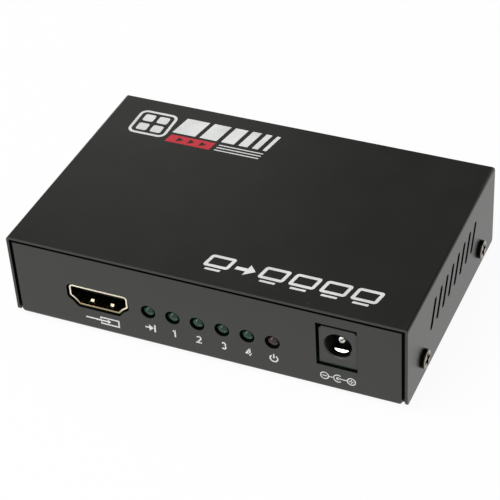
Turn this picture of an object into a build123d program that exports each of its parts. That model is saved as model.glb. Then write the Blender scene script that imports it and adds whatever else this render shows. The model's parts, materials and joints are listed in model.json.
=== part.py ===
# Video signal splitter in a folded steel case: one input socket and a power jack at the front,
# four output sockets at the rear, six lamps, and a circuit board on standoffs.
# Millimetres. X runs along the front, Y from the front to the rear, Z up.
# The origin lies midway between the feet, on the surface that they stand on.
from build123d import *
import os

# Driving sizes of the case
case_width = 98.5
case_depth = 63.0
cover_height = 22.0
sheet = 0.65
bend_inside = 0.1
side_gap = 0.22
panel_inset = 0.1
panel_top_gap = 0.7
base_drop = 0.4
foot_height = 1.2
overrun = 1.0

# Driving sizes of the board and what it stands on
standoff_height = 4.25
board_thickness = 1.6
board_end_gap = 0.6
board_tip_gap = 0.9

# Screws: nominal thread and the play in a tapped and in a plain hole
thread_radius = 1.25
thread_play = 0.05
plain_hole_play = 0.2
cover_screw_length = 5.0
board_screw_length = 5.2

# Counts
lamp_count = 6
output_count = 4

# Levels and faces that follow from the sizes above
bend_outside = bend_inside + sheet
base_bottom = foot_height
floor_top = base_bottom + sheet
cover_bottom = base_bottom + base_drop
cover_top = cover_bottom + cover_height
cover_underside = cover_top - sheet
panel_top = cover_underside - panel_top_gap
base_half_width = case_width / 2 - sheet - side_gap
panel_outside = case_depth / 2 - panel_inset
panel_inside = panel_outside - sheet
board_bottom = floor_top + standoff_height
board_top = board_bottom + board_thickness
board_half_width = case_width / 2 - cover_screw_length - board_tip_gap
board_half_depth = panel_inside - board_end_gap


def block(x_low, x_high, y_low, y_high, z_low, z_high):
    middle = Pos((x_low + x_high) / 2, (y_low + y_high) / 2, (z_low + z_high) / 2)
    return middle * Box(x_high - x_low, y_high - y_low, z_high - z_low)


def outline(points):
    return make_face(Polyline(*points, close=True))


def along_x(sketch, x_low, x_high):
    # The sketch's own axes are Y and Z
    plane = Plane(origin=(x_low, 0, 0), x_dir=(0, 1, 0), z_dir=(1, 0, 0))
    return extrude(plane * sketch, amount=x_high - x_low)


def along_y(sketch, y_low, y_high):
    # The sketch's own axes are X and Z
    plane = Plane(origin=(0, y_high, 0), x_dir=(1, 0, 0), z_dir=(0, -1, 0))
    return extrude(plane * sketch, amount=y_high - y_low)


def along_z(sketch, z_low, z_high):
    return extrude(Pos(0, 0, z_low) * sketch, amount=z_high - z_low)


def round_bar_x(radius, x_low, x_high, y, z):
    bar = Rot(0, 90, 0) * Cylinder(radius, x_high - x_low)
    return Pos((x_low + x_high) / 2, y, z) * bar


def round_bar_y(radius, y_low, y_high, x, z):
    bar = Rot(90, 0, 0) * Cylinder(radius, y_high - y_low)
    return Pos(x, (y_low + y_high) / 2, z) * bar


def round_bar_z(radius, z_low, z_high, x, y):
    return Pos(x, y, (z_low + z_high) / 2) * Cylinder(radius, z_high - z_low)


def group(solids):
    return Compound(children=list(solids))


def corners(half_x, half_y):
    return [(x, y) for x in (-half_x, half_x) for y in (-half_y, half_y)]


# Places that several pieces share
cover_screw_setback = 10.7
cover_screw_rise = 5.25
cover_screw_y = case_depth / 2 - cover_screw_setback
cover_screw_z = cover_bottom + cover_screw_rise
standoff_inset_x = 3.9
standoff_inset_y = 19.0
standoff_places = corners(board_half_width - standoff_inset_x, board_half_depth - standoff_inset_y)

# Video socket: outside of the metal shell, seen from the front
socket_width = 15.1
socket_height = 5.45
socket_slope_width = 2.4
socket_slope_height = 2.3
socket_slope_sink = 0.12
socket_corner = 0.5
socket_top_corner = 0.9
shell_wall = 0.4
shell_length = 11.6
socket_recess = 0.4
socket_cut_gap = 0.5
socket_front = panel_outside - socket_recess

# Power jack
jack_width = 9.0
jack_height = 11.0
jack_length = 14.4
jack_axis = 6.0
jack_bore = 3.25
jack_pin = 1.0
jack_recess = 0.5
jack_front = panel_outside - jack_recess

# Places along the front, from the board's ends inwards; the lamps share the room between socket and jack
input_edge_room = 16.6
jack_edge_room = 10.5
lamp_first_share = 0.1157
lamp_last_share = 0.2334
input_x = input_edge_room - board_half_width
jack_x = board_half_width - jack_edge_room
lamp_row_left = input_x + socket_width / 2
lamp_row_right = jack_x - jack_width / 2
lamp_row_room = lamp_row_right - lamp_row_left
lamp_first_x = lamp_row_left + lamp_row_room * lamp_first_share
lamp_last_x = lamp_row_right - lamp_row_room * lamp_last_share
lamp_pitch = (lamp_last_x - lamp_first_x) / (lamp_count - 1)
lamp_places = [lamp_first_x + lamp_pitch * i for i in range(lamp_count)]

# Output sockets are spread evenly over the board, the first one on the left seen from the rear
output_pitch = 2 * board_half_width / output_count
output_places = [output_pitch * ((output_count - 1) / 2 - i) for i in range(output_count)]

# Lamps: round 3 mm lenses, lying on their side with the tip in the panel's hole
lamp_radius = 1.5
lamp_rim = 0.4
lamp_rim_length = 1.0
lamp_length = 5.3
lamp_rise = 3.05
lamp_hole_gap = 0.35
lamp_z = board_top + lamp_rise
lamp_back = panel_outside - lamp_length


def socket_outline(grow):
    # Wide at the top, with both lower corners cut off on a slope that sinks in at its middle
    half = socket_width / 2
    knee = half - socket_slope_width / 2 - socket_slope_sink
    knee_height = socket_slope_height / 2 + socket_slope_sink
    points = [
        (-half, socket_height),
        (half, socket_height),
        (half, socket_slope_height),
        (knee, knee_height),
        (half - socket_slope_width, 0),
        (socket_slope_width - half, 0),
        (-knee, knee_height),
        (-half, socket_slope_height),
    ]
    shape = outline(points)
    if grow:
        shape = offset(shape, amount=grow, kind=Kind.INTERSECTION)
    shape = fillet(shape.vertices().sort_by(Axis.Y)[-2:], radius=socket_top_corner + grow)
    lower = [v for v in shape.vertices() if v.Y < socket_height / 2 + socket_slope_sink]
    return fillet(lower, radius=socket_corner + max(grow, -socket_corner / 2))


# Sheet metal of the base: relief cuts and chamfers at the lower ends of both panels
relief_length = 4.2
relief_rise = 0.3
corner_cut_width = 1.0
corner_cut_height = 1.3
return_depth = 14.0
return_floor_gap = 0.8
return_top_drop = 1.2
thread_boss_wall = 0.9
thread_boss_length = 1.2
standoff_foot_radius = 2.1
standoff_foot_play = 0.05
jack_cut_left = 0.55
jack_cut_right = 0.2
jack_cut_above = 1.05


def place_socket(shape, x, at_rear):
    turn = 180 if at_rear else 0
    y = socket_front if at_rear else -socket_front
    return Pos(x, y, board_top) * Rot(0, 0, turn) * shape


def panel_openings():
    cut = along_y(socket_outline(socket_cut_gap), -overrun, sheet + overrun)
    openings = [place_socket(cut, input_x, False)]
    openings += [place_socket(cut, x, True) for x in output_places]
    rows = (-panel_outside - overrun, -panel_inside + overrun)
    openings += [round_bar_y(lamp_radius + lamp_hole_gap, *rows, x, lamp_z) for x in lamp_places]
    left = jack_x - jack_width / 2 - jack_cut_left
    right = jack_x + jack_width / 2 + jack_cut_right
    high = board_top + jack_height + jack_cut_above
    openings.append(block(left, right, *rows, board_top, high))
    return openings


def mirrored(side, near, far):
    # The span from near to far on the positive or the negative side, low end first
    return sorted((side * near, side * far))


def folded_walls():
    # A rounded rectangle of sheet, cut away between the four end returns
    outer = RectangleRounded(2 * base_half_width, 2 * panel_outside, bend_outside)
    inner = RectangleRounded(2 * (base_half_width - sheet), 2 * panel_inside, bend_inside)
    low = floor_top + return_floor_gap
    walls = along_z(outer - inner, low, panel_top)
    open_half = panel_outside - return_depth
    reach = base_half_width + overrun
    walls -= block(-reach, reach, -open_half, open_half, low - overrun, panel_top + overrun)
    for side in (-1, 1):
        for end in (-1, 1):
            columns = mirrored(side, base_half_width - bend_outside, reach)
            rows = mirrored(end, open_half - overrun, panel_inside - bend_inside)
            walls -= block(*columns, *rows, panel_top - return_top_drop, panel_top + overrun)
    return walls


def folded_floor():
    # The floor and, as far up as the returns begin, both panels
    top = floor_top + return_floor_gap
    section = outline([
        (-panel_outside, top), (-panel_outside, base_bottom), (panel_outside, base_bottom),
        (panel_outside, top), (panel_inside, top), (panel_inside, floor_top),
        (-panel_inside, floor_top), (-panel_inside, top),
    ])
    outside = [v for v in section.vertices() if v.Y < (base_bottom + floor_top) / 2]
    section = fillet(outside, radius=bend_outside)
    inside = [v for v in section.vertices() if abs(v.Y - floor_top) < bend_inside / 2]
    inside = [v for v in inside if abs(v.X) < panel_inside + bend_inside / 2]
    section = fillet(inside, radius=bend_inside)
    corners_rounded = RectangleRounded(2 * base_half_width, 2 * panel_outside, bend_outside)
    pan = along_x(section, -base_half_width, base_half_width)
    return pan & along_z(corners_rounded, base_bottom - overrun, top + overrun)


def relief_cuts():
    # At each lower corner: a notch beside the bend, a raised edge and a sloped corner
    cuts = []
    cut_low = base_bottom + relief_rise
    for side in (-1, 1):
        edge = side * base_half_width
        beyond = side * (base_half_width + overrun)
        start = edge - side * corner_cut_width
        wedge = outline([
            (start, cut_low), (edge, cut_low + corner_cut_height), (beyond, cut_low + corner_cut_height),
            (beyond, cut_low - overrun), (start, cut_low - overrun),
        ])
        columns = mirrored(side, base_half_width - relief_length, base_half_width + overrun)
        for end in (-1, 1):
            rows = mirrored(end, panel_inside - bend_outside, panel_outside + overrun)
            notch = mirrored(end, panel_inside - bend_outside, panel_inside)
            cuts.append(block(*columns, *rows, base_bottom - overrun, cut_low))
            cuts.append(block(*columns, *notch, base_bottom - overrun, floor_top + bend_inside))
            cuts.append(along_y(wedge, *rows))
    return cuts


def base_chassis():
    base = folded_walls() + folded_floor()
    for cut in relief_cuts():
        base -= cut
    # A drawn boss behind each side screw carries its thread
    face = base_half_width - sheet
    for side in (-1, 1):
        for y in (-cover_screw_y, cover_screw_y):
            boss = mirrored(side, face - thread_boss_length, face + sheet / 2)
            hole = mirrored(side, face - thread_boss_length - overrun, base_half_width + overrun)
            base += round_bar_x(thread_radius + thread_boss_wall, *boss, y, cover_screw_z)
            base -= round_bar_x(thread_radius + thread_play, *hole, y, cover_screw_z)
    for x, y in standoff_places:
        hole = standoff_foot_radius + standoff_foot_play
        base -= round_bar_z(hole, base_bottom - overrun, floor_top + overrun, x, y)
    for opening in panel_openings():
        base -= opening
    return base


# Vent slots in both sides of the cover, leaning back towards the top
slot_count = 8
slot_pitch = 4.17
slot_length = 7.9
slot_width = 1.7
slot_lean = 25.0
slot_mid_rise = 12.95
slot_row_shift = 0.5
cover_corner = 0.8


def top_cover():
    half = case_width / 2
    shell = outline([
        (-half, cover_bottom), (-half, cover_top), (half, cover_top), (half, cover_bottom),
        (half - sheet, cover_bottom), (half - sheet, cover_underside),
        (sheet - half, cover_underside), (sheet - half, cover_bottom),
    ])
    top_corners = [v for v in shell.vertices() if v.Y > cover_top - sheet / 2]
    shell = fillet(top_corners, radius=bend_outside)
    under_corners = [v for v in shell.vertices() if abs(v.Y - cover_underside) < bend_inside / 2]
    shell = fillet(under_corners, radius=bend_inside)
    cover = along_y(shell, -case_depth / 2, case_depth / 2)
    # Rounded lower corners of both sides
    side_view = RectangleRounded(case_depth, 2 * cover_height, cover_corner)
    side_view = Pos(0, cover_bottom + cover_height) * side_view
    cover &= along_x(side_view, -half - overrun, half + overrun)
    for i in range(slot_count):
        y = slot_row_shift + slot_pitch * (i - (slot_count - 1) / 2)
        slot = Pos(y, cover_bottom + slot_mid_rise) * Rot(0, 0, 90 - slot_lean)
        cover -= along_x(slot * SlotOverall(slot_length, slot_width), -half - overrun, half + overrun)
    hole = thread_radius + plain_hole_play
    for y in (-cover_screw_y, cover_screw_y):
        cover -= round_bar_x(hole, -half - overrun, half + overrun, y, cover_screw_z)
    return cover


# Pan head screws with a cross recess
head_radius = 2.3
head_height = 1.0
head_round = 0.3
recess_width = 0.95
recess_length = 3.4
recess_depth = 0.7


def pan_screw(length):
    # The head's underside lies at height zero and the shank points down
    head = round_bar_z(head_radius, 0, head_height, 0, 0)
    head = fillet(head.edges().sort_by(Axis.Z)[-1], radius=head_round)
    for turn in (0, 90):
        arm = block(
            -recess_length / 2, recess_length / 2, -recess_width / 2, recess_width / 2,
            head_height - recess_depth, head_height + overrun,
        )
        head -= Rot(0, 0, turn) * arm
    shank = round_bar_z(thread_radius, -length, 0, 0, 0)
    return head + shank


def cover_screws():
    screws = []
    for side in (-1, 1):
        for y in (-cover_screw_y, cover_screw_y):
            turned = Rot(0, side * 90, 0) * pan_screw(cover_screw_length)
            screws.append(Pos(side * case_width / 2, y, cover_screw_z) * turned)
    return group(screws)


def board_screws():
    return group(Pos(x, y, board_top) * pan_screw(board_screw_length) for x, y in standoff_places)


# Hexagon standoffs, clinched into the floor
standoff_across = 5.5


def board_standoffs():
    posts = []
    for x, y in standoff_places:
        hexagon = RegularPolygon(standoff_across / 2, 6, major_radius=False)
        post = along_z(hexagon, floor_top, board_bottom)
        post += round_bar_z(standoff_foot_radius, base_bottom, floor_top, 0, 0)
        post -= round_bar_z(thread_radius + thread_play, base_bottom - overrun, board_bottom + overrun, 0, 0)
        posts.append(Pos(x, y, 0) * post)
    return group(posts)


# Stick-on rubber feet
foot_radius = 4.0
foot_inset_x = 11.0
foot_inset_y = 9.5
foot_edge_round = 0.4


def rubber_feet():
    feet = []
    for x, y in corners(case_width / 2 - foot_inset_x, case_depth / 2 - foot_inset_y):
        foot = round_bar_z(foot_radius, 0, foot_height, x, y)
        feet.append(fillet(foot.edges().sort_by(Axis.Z)[0], radius=foot_edge_round))
    return group(feet)


# Socket shell: solder legs, and spring tabs that grip the plug from above and below
leg_width = 1.6
leg_depth = 2.4
leg_setback = 2.4
leg_back_room = 3.0
leg_setbacks = (leg_setback, shell_length - leg_back_room)
leg_play = 0.12
tab_offset = 2.6
tab_width = 1.3
tab_length = 4.4
tab_front = 1.0
tab_slit = 0.3
bump_width = 0.9
bump_length = 1.3
bump_height = 0.45
bump_flat = 0.4
bump_front = 1.3


def socket_legs(play):
    legs = []
    half = socket_width / 2
    for side in (-1, 1):
        for setback in leg_setbacks:
            x_ends = sorted((side * (half - shell_wall - play), side * (half + play)))
            legs.append(
                block(*x_ends, setback - play, setback + leg_width + play, -leg_depth, socket_slope_height)
            )
    return legs


def socket_shell():
    wall = socket_outline(0) - socket_outline(-shell_wall)
    shell = along_y(wall, 0, shell_length)
    for leg in socket_legs(0):
        shell += leg
    for x in (-tab_offset, tab_offset):
        window = block(
            x - tab_width / 2 - tab_slit, x + tab_width / 2 + tab_slit,
            tab_front - tab_slit, tab_front + tab_length, -overrun, socket_height + overrun,
        )
        tab = block(
            x - tab_width / 2, x + tab_width / 2, tab_front, tab_front + tab_length + tab_slit,
            -overrun, socket_height + overrun,
        )
        lower = block(-socket_width, socket_width, 0, shell_length, -overrun, shell_wall)
        upper = block(
            -socket_width, socket_width, 0, shell_length, socket_height - shell_wall, socket_height + overrun
        )
        shell -= (window - tab) & (lower + upper)
        bump = outline([
            (bump_front, 0), (bump_front + (bump_length - bump_flat) / 2, bump_height),
            (bump_front + (bump_length + bump_flat) / 2, bump_height), (bump_front + bump_length, 0),
        ])
        solid_bump = along_x(bump, x - bump_width / 2, x + bump_width / 2)
        shell += Pos(0, 0, shell_wall) * solid_bump
        shell += Pos(0, 0, socket_height - shell_wall) * mirror(solid_bump, about=Plane.XY)
    return shell


# Socket insulator: a rear block that carries the tongue
tongue_width = 11.0
tongue_thickness = 1.2
tongue_height = 2.95
tongue_front = 2.0
block_length = 3.0
block_fit = 0.05
foot_block_depth = 1.0
block_front = shell_length - block_length
foot_block_front = shell_length + shell_wall / 2
foot_block_back = foot_block_front + foot_block_depth
foot_block_width = 12.0
foot_block_height = 4.4

# Contacts: flat strips on both faces of the tongue, bent down to the board behind the block
contact_width = 0.34
contact_thickness = 0.16
contact_sink = 0.1
contact_pitch = 1.0
contact_front = 2.5
contact_play = 0.04
contact_foot = 0.9
upper_contact_count = 10
lower_contact_count = 9
lower_tail_room = 0.35
upper_tail_room = 1.35
tail_bend = 0.15


def contact_rows():
    # For each row: count, underside and top of the strip, where its tail turns down
    top_face = tongue_height + tongue_thickness / 2
    under_face = tongue_height - tongue_thickness / 2
    upper = (upper_contact_count, top_face - contact_sink, top_face - contact_sink + contact_thickness)
    lower = (lower_contact_count, under_face + contact_sink - contact_thickness, under_face + contact_sink)
    return [(*upper, foot_block_back + upper_tail_room), (*lower, foot_block_back + lower_tail_room)]


def contact_columns(count):
    return [contact_pitch * (i - (count - 1) / 2) for i in range(count)]


def socket_contacts():
    strips = []
    for count, low, high, tail in contact_rows():
        back = tail + contact_thickness
        path = outline([
            (contact_front, low), (contact_front, high), (back, high), (back, contact_thickness),
            (back + contact_foot, contact_thickness), (back + contact_foot, 0), (tail, 0), (tail, low),
        ])
        bend = [v for v in path.vertices() if v.X > tail and v.Y > low]
        path = fillet(bend, radius=tail_bend)
        for x in contact_columns(count):
            strips.append(along_x(path, x - contact_width / 2, x + contact_width / 2))
    return strips


def socket_insulator():
    inside = socket_outline(-shell_wall - block_fit)
    body = along_y(inside, block_front, foot_block_front)
    half = foot_block_width / 2
    body += block(-half, half, foot_block_front, foot_block_back, 0, foot_block_height)
    tongue = block(
        -tongue_width / 2, tongue_width / 2, tongue_front, block_front + sheet,
        tongue_height - tongue_thickness / 2, tongue_height + tongue_thickness / 2,
    )
    front_edges = tongue.edges().filter_by(Axis.X).sort_by(Axis.Y)[:2]
    body += chamfer(front_edges, length=tongue_thickness / 4)
    for count, low, high, tail in contact_rows():
        for x in contact_columns(count):
            half = contact_width / 2 + contact_play
            body -= block(
                x - half, x + half, contact_front - contact_play, foot_block_back + overrun,
                low - contact_play, high + contact_play,
            )
    return body


# Power jack, drawn from its own front face: a square head and a round-topped barrel
jack_head_length = 3.4
jack_head_chamfer = 0.7
jack_lip_rise = 0.45
jack_barrel_radius = 3.9
jack_bore_depth = 10.4
jack_bore_chamfer = 0.3
pin_front = 2.2
pin_nose = 0.5
pin_hole = 0.35
pin_hole_depth = 2.5
pin_slit = 0.4
pin_slit_turn = 50
pin_fit = 0.05
tab_thickness = 0.3
tab_reach = 3.4
pin_tab_width = 2.4
pin_tab_rise = 1.4
slot_half = 2.55
slot_front = 0.6
slot_floor_drop = 5.0
slot_roof_drop = 3.6
slot_back = 13.5

# Sprung sleeve contact: rises from its root to a crest just inside the bore
leaf_width = 4.7
leaf_thickness = 0.25
leaf_tip = 1.7
leaf_tip_drop = 2.95
leaf_tip_round = 1.9
leaf_crest = 2.3
leaf_crest_drop = 2.5
leaf_root = 12.4
leaf_root_drop = 4.3
leaf_crest_round = 0.5
root_gap = 0.1
sleeve_tab_width = 3.2
sleeve_tab_back = 13.1
switch_front = 7.4
switch_width = 1.5
switch_reach = 1.1
switch_thickness = 0.2
switch_drop = 3.2
switch_clearance = 0.1
board_hole_play = 0.2


def jack_body():
    half = jack_width / 2
    face = outline([(-half, 0), (-half, jack_height), (half, jack_height), (half, 0)])
    top_corners = [v for v in face.vertices() if v.Y > jack_height / 2]
    body = along_y(chamfer(top_corners, length=jack_head_chamfer), 0, jack_head_length)
    body += block(-jack_barrel_radius, jack_barrel_radius, 0, jack_length, 0, jack_axis)
    body += round_bar_y(jack_barrel_radius, 0, jack_length, 0, jack_axis)
    body -= round_bar_y(jack_bore, -overrun, jack_bore_depth, 0, jack_axis)
    mouth = body.edges().filter_by(GeomType.CIRCLE).sort_by(Axis.Y)
    mouth = [edge for edge in mouth if abs(edge.radius - jack_bore) < jack_bore_chamfer / 2][:1]
    body = chamfer(mouth, length=jack_bore_chamfer)
    body -= round_bar_y(jack_pin + pin_fit, jack_bore_depth - overrun, jack_length + overrun, 0, jack_axis)
    # The head's underside stands clear of the board
    body -= block(-half - overrun, half + overrun, -overrun, jack_head_length, -overrun, jack_lip_rise)
    # Room for the leaf under the bore, and for its terminal down through the base
    floor = jack_axis - slot_floor_drop
    body -= block(-slot_half, slot_half, slot_front, jack_bore_depth, floor, jack_axis - jack_bore / 2)
    roof = jack_axis - slot_roof_drop
    body -= block(-slot_half, slot_half, jack_bore_depth - overrun, slot_back, floor, roof)
    half_tab = sleeve_tab_width / 2 + board_hole_play
    body -= block(
        -half_tab, half_tab, sleeve_tab_back - tab_thickness - board_hole_play,
        sleeve_tab_back + board_hole_play, -overrun, floor + overrun,
    )
    # Side window for the switch contact
    low = jack_axis - switch_drop - switch_thickness - switch_clearance
    body -= block(
        -half - overrun, 0, switch_front - switch_clearance, switch_front + switch_width + switch_clearance,
        low, jack_axis - switch_drop + switch_clearance,
    )
    return body


def jack_pin_contact():
    pin = round_bar_y(jack_pin, pin_front, jack_length, 0, jack_axis)
    pin = fillet(pin.edges().filter_by(GeomType.CIRCLE).sort_by(Axis.Y)[0], radius=pin_nose)
    # A hollow end, slit along one side
    hollow_end = pin_front + pin_hole_depth
    pin -= round_bar_y(pin_hole, pin_front - overrun, hollow_end, 0, jack_axis)
    slit = block(-pin_slit / 2, pin_slit / 2, pin_front - overrun, hollow_end, 0, jack_pin + overrun)
    pin -= Pos(0, 0, jack_axis) * Rot(0, pin_slit_turn, 0) * slit
    tab = block(
        -pin_tab_width / 2, pin_tab_width / 2, jack_length, jack_length + tab_thickness,
        -tab_reach, jack_axis + pin_tab_rise,
    )
    return pin + tab


def jack_leaf():
    points = [
        (leaf_tip, jack_axis - leaf_tip_drop), (leaf_crest, jack_axis - leaf_crest_drop),
        (leaf_root, jack_axis - leaf_root_drop), (leaf_root, jack_axis - leaf_root_drop - leaf_thickness),
        (leaf_crest, jack_axis - leaf_crest_drop - leaf_thickness),
        (leaf_tip, jack_axis - leaf_tip_drop - leaf_thickness),
    ]
    profile = outline(points)
    crest = [v for v in profile.vertices() if abs(v.X - leaf_crest) < leaf_thickness]
    profile = fillet(crest, radius=leaf_crest_round)
    leaf = along_x(profile, -leaf_width / 2, leaf_width / 2)
    # Rounded corners at its tip, seen from above
    plan = RectangleRounded(leaf_width, 2 * leaf_root, leaf_tip_round)
    leaf &= along_z(Pos(0, leaf_tip + leaf_root) * plan, 0, jack_axis)
    # The root's rounded end is the line that the leaf bends about
    middle = jack_axis - leaf_root_drop - leaf_thickness / 2
    return leaf + round_bar_x(leaf_thickness / 2, -leaf_width / 2, leaf_width / 2, leaf_root, middle)


def jack_sleeve_terminal():
    # The fixed end of the leaf: a short root, bent down into the board
    top = jack_axis - leaf_root_drop
    half = sleeve_tab_width / 2
    front = leaf_root + leaf_thickness / 2 + root_gap
    root = block(-half, half, front, sleeve_tab_back, top - leaf_thickness, top)
    tab = block(-half, half, sleeve_tab_back - tab_thickness, sleeve_tab_back, -tab_reach, top)
    return root + tab


def jack_switch_contact():
    # Lies just over the leaf and leaves through the side of the body
    top = jack_axis - switch_drop
    outside = jack_width / 2 + switch_clearance + tab_thickness
    back = switch_front + switch_width
    strip = block(-outside, -switch_reach, switch_front, back, top - switch_thickness, top)
    tab = block(-outside, tab_thickness - outside, switch_front, back, -tab_reach, top)
    return strip + tab


def jack_board_holes():
    play = board_hole_play
    half_pin = pin_tab_width / 2 + play
    half_sleeve = sleeve_tab_width / 2 + play
    outside = jack_width / 2 + switch_clearance + tab_thickness
    inside = outside - tab_thickness
    spans = [
        (-half_pin, half_pin, jack_length - play, jack_length + tab_thickness + play),
        (-half_sleeve, half_sleeve, sleeve_tab_back - tab_thickness - play, sleeve_tab_back + play),
        (-outside - play, play - inside, switch_front - play, switch_front + switch_width + play),
    ]
    return [block(*span, -board_thickness - overrun, overrun) for span in spans]


def place_jack(shape):
    return Pos(jack_x, -jack_front, board_top) * shape


# Lamp leads: square wire, bent down through the board
lead_size = 0.5
lead_spacing = 2.54
lead_run = 2.2
lead_bend = 0.7
lead_below = 1.3
lead_hole = 0.5


def lamp_lens():
    # Drawn about its own axis, the tip at y = 0 and the rim towards +Y
    straight = lamp_length - lamp_radius
    lens = round_bar_y(lamp_radius, lamp_radius, lamp_radius + straight, 0, 0)
    lens += Pos(0, lamp_radius, 0) * Sphere(lamp_radius)
    lens += round_bar_y(lamp_radius + lamp_rim, lamp_length - lamp_rim_length, lamp_length, 0, 0)
    return lens


def lamp_leads():
    leads = []
    back = -lamp_back
    low = lamp_z - lead_size / 2
    high = lamp_z + lead_size / 2
    end = back + lead_run
    foot = board_bottom - lead_below
    wire = outline([
        (back, low), (back, high), (end, high), (end, foot), (end - lead_size, foot), (end - lead_size, low)
    ])
    outer = [v for v in wire.vertices() if v.X > end - lead_size / 2 and v.Y > lamp_z]
    wire = fillet(outer, radius=lead_bend)
    for x in lamp_places:
        for side in (-1, 1):
            middle = x + side * lead_spacing / 2
            leads.append(along_x(wire, middle - lead_size / 2, middle + lead_size / 2))
    return group(leads)


def main_board():
    half_x = board_half_width
    half_y = board_half_depth
    board = block(-half_x, half_x, -half_y, half_y, board_bottom, board_top)
    holes = []
    for x, y in standoff_places:
        hole = thread_radius + plain_hole_play
        holes.append(round_bar_z(hole, board_bottom - overrun, board_top + overrun, x, y))
    for x, at_rear in [(input_x, False)] + [(x, True) for x in output_places]:
        holes += [place_socket(leg, x, at_rear) for leg in socket_legs(leg_play)]
    holes += [place_jack(hole) for hole in jack_board_holes()]
    holes += crystal_wire_holes()
    lead_y = -lamp_back + lead_run - lead_size / 2
    for x in lamp_places:
        for side in (-1, 1):
            middle = x + side * lead_spacing / 2
            holes.append(round_bar_z(lead_hole, board_bottom - overrun, board_top + overrun, middle, lead_y))
    for hole in holes:
        board -= hole
    return board


# Surface-mount packages: a body on gull-wing leads, drawn about its own middle on the board
package_rise = 0.1
lead_thickness = 0.15
chip_size = 14.0
chip_height = 1.4
chip_reach = 1.5
chip_lead_width = 0.24
chip_lead_pitch = 0.6
chip_lead_count = 20
control_width = 3.9
control_length = 9.9
control_height = 1.5
control_lead_pitch = 1.27
control_lead_count = 7
memory_length = 4.9
memory_lead_count = 4
small_reach = 1.05
knee_share = 0.4
small_lead_width = 0.4
regulator_width = 3.5
regulator_length = 6.5
regulator_height = 1.6
regulator_lead_pitch = 2.3
regulator_lead_width = 0.7
regulator_tab_width = 3.0
regulator_lead_count = 3


def package_body(width, length, height):
    body = block(-width / 2, width / 2, -length / 2, length / 2, package_rise, package_rise + height)
    return chamfer(body.edges().group_by(Axis.Z)[-1], length=package_rise)


def gull_lead(start, reach, middle, width):
    # Leaves a body's +X face at mid height, steps down and ends in a foot on the board
    knee = start + reach * knee_share
    low = middle - lead_thickness / 2
    high = middle + lead_thickness / 2
    path = outline([
        (start, low), (start, high), (knee + lead_thickness, high), (knee + lead_thickness, lead_thickness),
        (start + reach, lead_thickness), (start + reach, 0), (knee, 0), (knee, low),
    ])
    return along_y(path, -width / 2, width / 2)


def lead_row(count, pitch, start, reach, middle, width):
    lead = gull_lead(start, reach, middle, width)
    return [Pos(0, pitch * (i - (count - 1) / 2), 0) * lead for i in range(count)]


def both_sides(row):
    return row + [Rot(0, 0, 180) * lead for lead in row]


def chip_leads():
    middle = package_rise + chip_height / 2
    row = lead_row(
        chip_lead_count, chip_lead_pitch, chip_size / 2, chip_reach, middle, chip_lead_width
    )
    return [Rot(0, 0, 90 * quarter) * lead for quarter in range(4) for lead in row]


def small_leads(count):
    middle = package_rise + control_height / 2
    return both_sides(
        lead_row(count, control_lead_pitch, control_width / 2, small_reach, middle, small_lead_width)
    )


def regulator_pins():
    middle = package_rise + regulator_height / 2
    pins = lead_row(
        regulator_lead_count, regulator_lead_pitch, regulator_width / 2, small_reach, middle,
        regulator_lead_width,
    )
    tab = gull_lead(regulator_width / 2, small_reach, middle, regulator_tab_width)
    return pins + [Rot(0, 0, 180) * tab]


# Heat sink on a soft pad, on top of the splitter chip
pad_thickness = 0.5
sink_size = 15.0
sink_base = 1.5
sink_height = 6.5
fin_count = 7
fin_width = 0.9
sink_bottom = package_rise + chip_height + pad_thickness


def thermal_pad():
    half = chip_size / 2 - package_rise
    return block(-half, half, -half, half, sink_bottom - pad_thickness, sink_bottom)


def heat_sink():
    half = sink_size / 2
    sink = block(-half, half, -half, half, sink_bottom, sink_bottom + sink_height)
    gap = (sink_size - fin_count * fin_width) / (fin_count - 1)
    for i in range(fin_count - 1):
        low = -half + fin_width + i * (fin_width + gap)
        sink -= block(
            low, low + gap, -half - overrun, half + overrun,
            sink_bottom + sink_base, sink_bottom + sink_height + overrun,
        )
    return sink


# Crystal in a low oval can, its two wires through the board
can_length = 11.0
can_width = 4.6
can_height = 3.6
can_flange = 0.4
can_flange_height = 0.5
can_wire = 0.22
can_wire_spacing = 4.9
can_wire_hole = 0.35
can_wire_below = 1.0


def crystal_can():
    flange = SlotOverall(can_length + 2 * can_flange, can_width + 2 * can_flange)
    can = along_z(flange, 0, can_flange_height)
    can += along_z(SlotOverall(can_length, can_width), 0, can_height)
    can = fillet(can.edges().group_by(Axis.Z)[-1], radius=can_flange)
    for side in (-1, 1):
        x = side * can_wire_spacing / 2
        can += round_bar_z(can_wire, -board_thickness - can_wire_below, can_flange_height, x, 0)
    return can


# Power parts: surface-mount electrolytics, an inductor, a diode and a resettable fuse
capacitor_radius = 3.15
capacitor_height = 5.3
capacitor_base = 6.6
capacitor_base_height = 0.9
capacitor_edge = 0.35
inductor_size = 7.0
inductor_height = 3.8
inductor_corner = 1.2
end_cap = 0.8
diode_size = (4.3, 2.6, 2.1)
fuse_size = (4.5, 3.2, 1.0)
resistor_size = (1.6, 0.8, 0.5)
ceramic_size = (1.6, 0.8, 0.8)
array_size = (2.1, 1.2, 0.6)


def capacitor_foot():
    half = capacitor_base / 2
    return block(-half, half, -half, half, 0, capacitor_base_height)


def capacitor_can():
    can = round_bar_z(capacitor_radius, capacitor_base_height, capacitor_base_height + capacitor_height, 0, 0)
    return fillet(can.edges().sort_by(Axis.Z)[-1], radius=capacitor_edge)


def inductor_core():
    half = inductor_size / 2
    core = along_z(RectangleRounded(inductor_size, inductor_size, inductor_corner), 0, inductor_height)
    groove = block(-half - overrun, half + overrun, -end_cap, end_cap, -overrun, end_cap / 2)
    return core - groove


def brick(size):
    length, width, height = size
    return block(-length / 2, length / 2, -width / 2, width / 2, 0, height)


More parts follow.
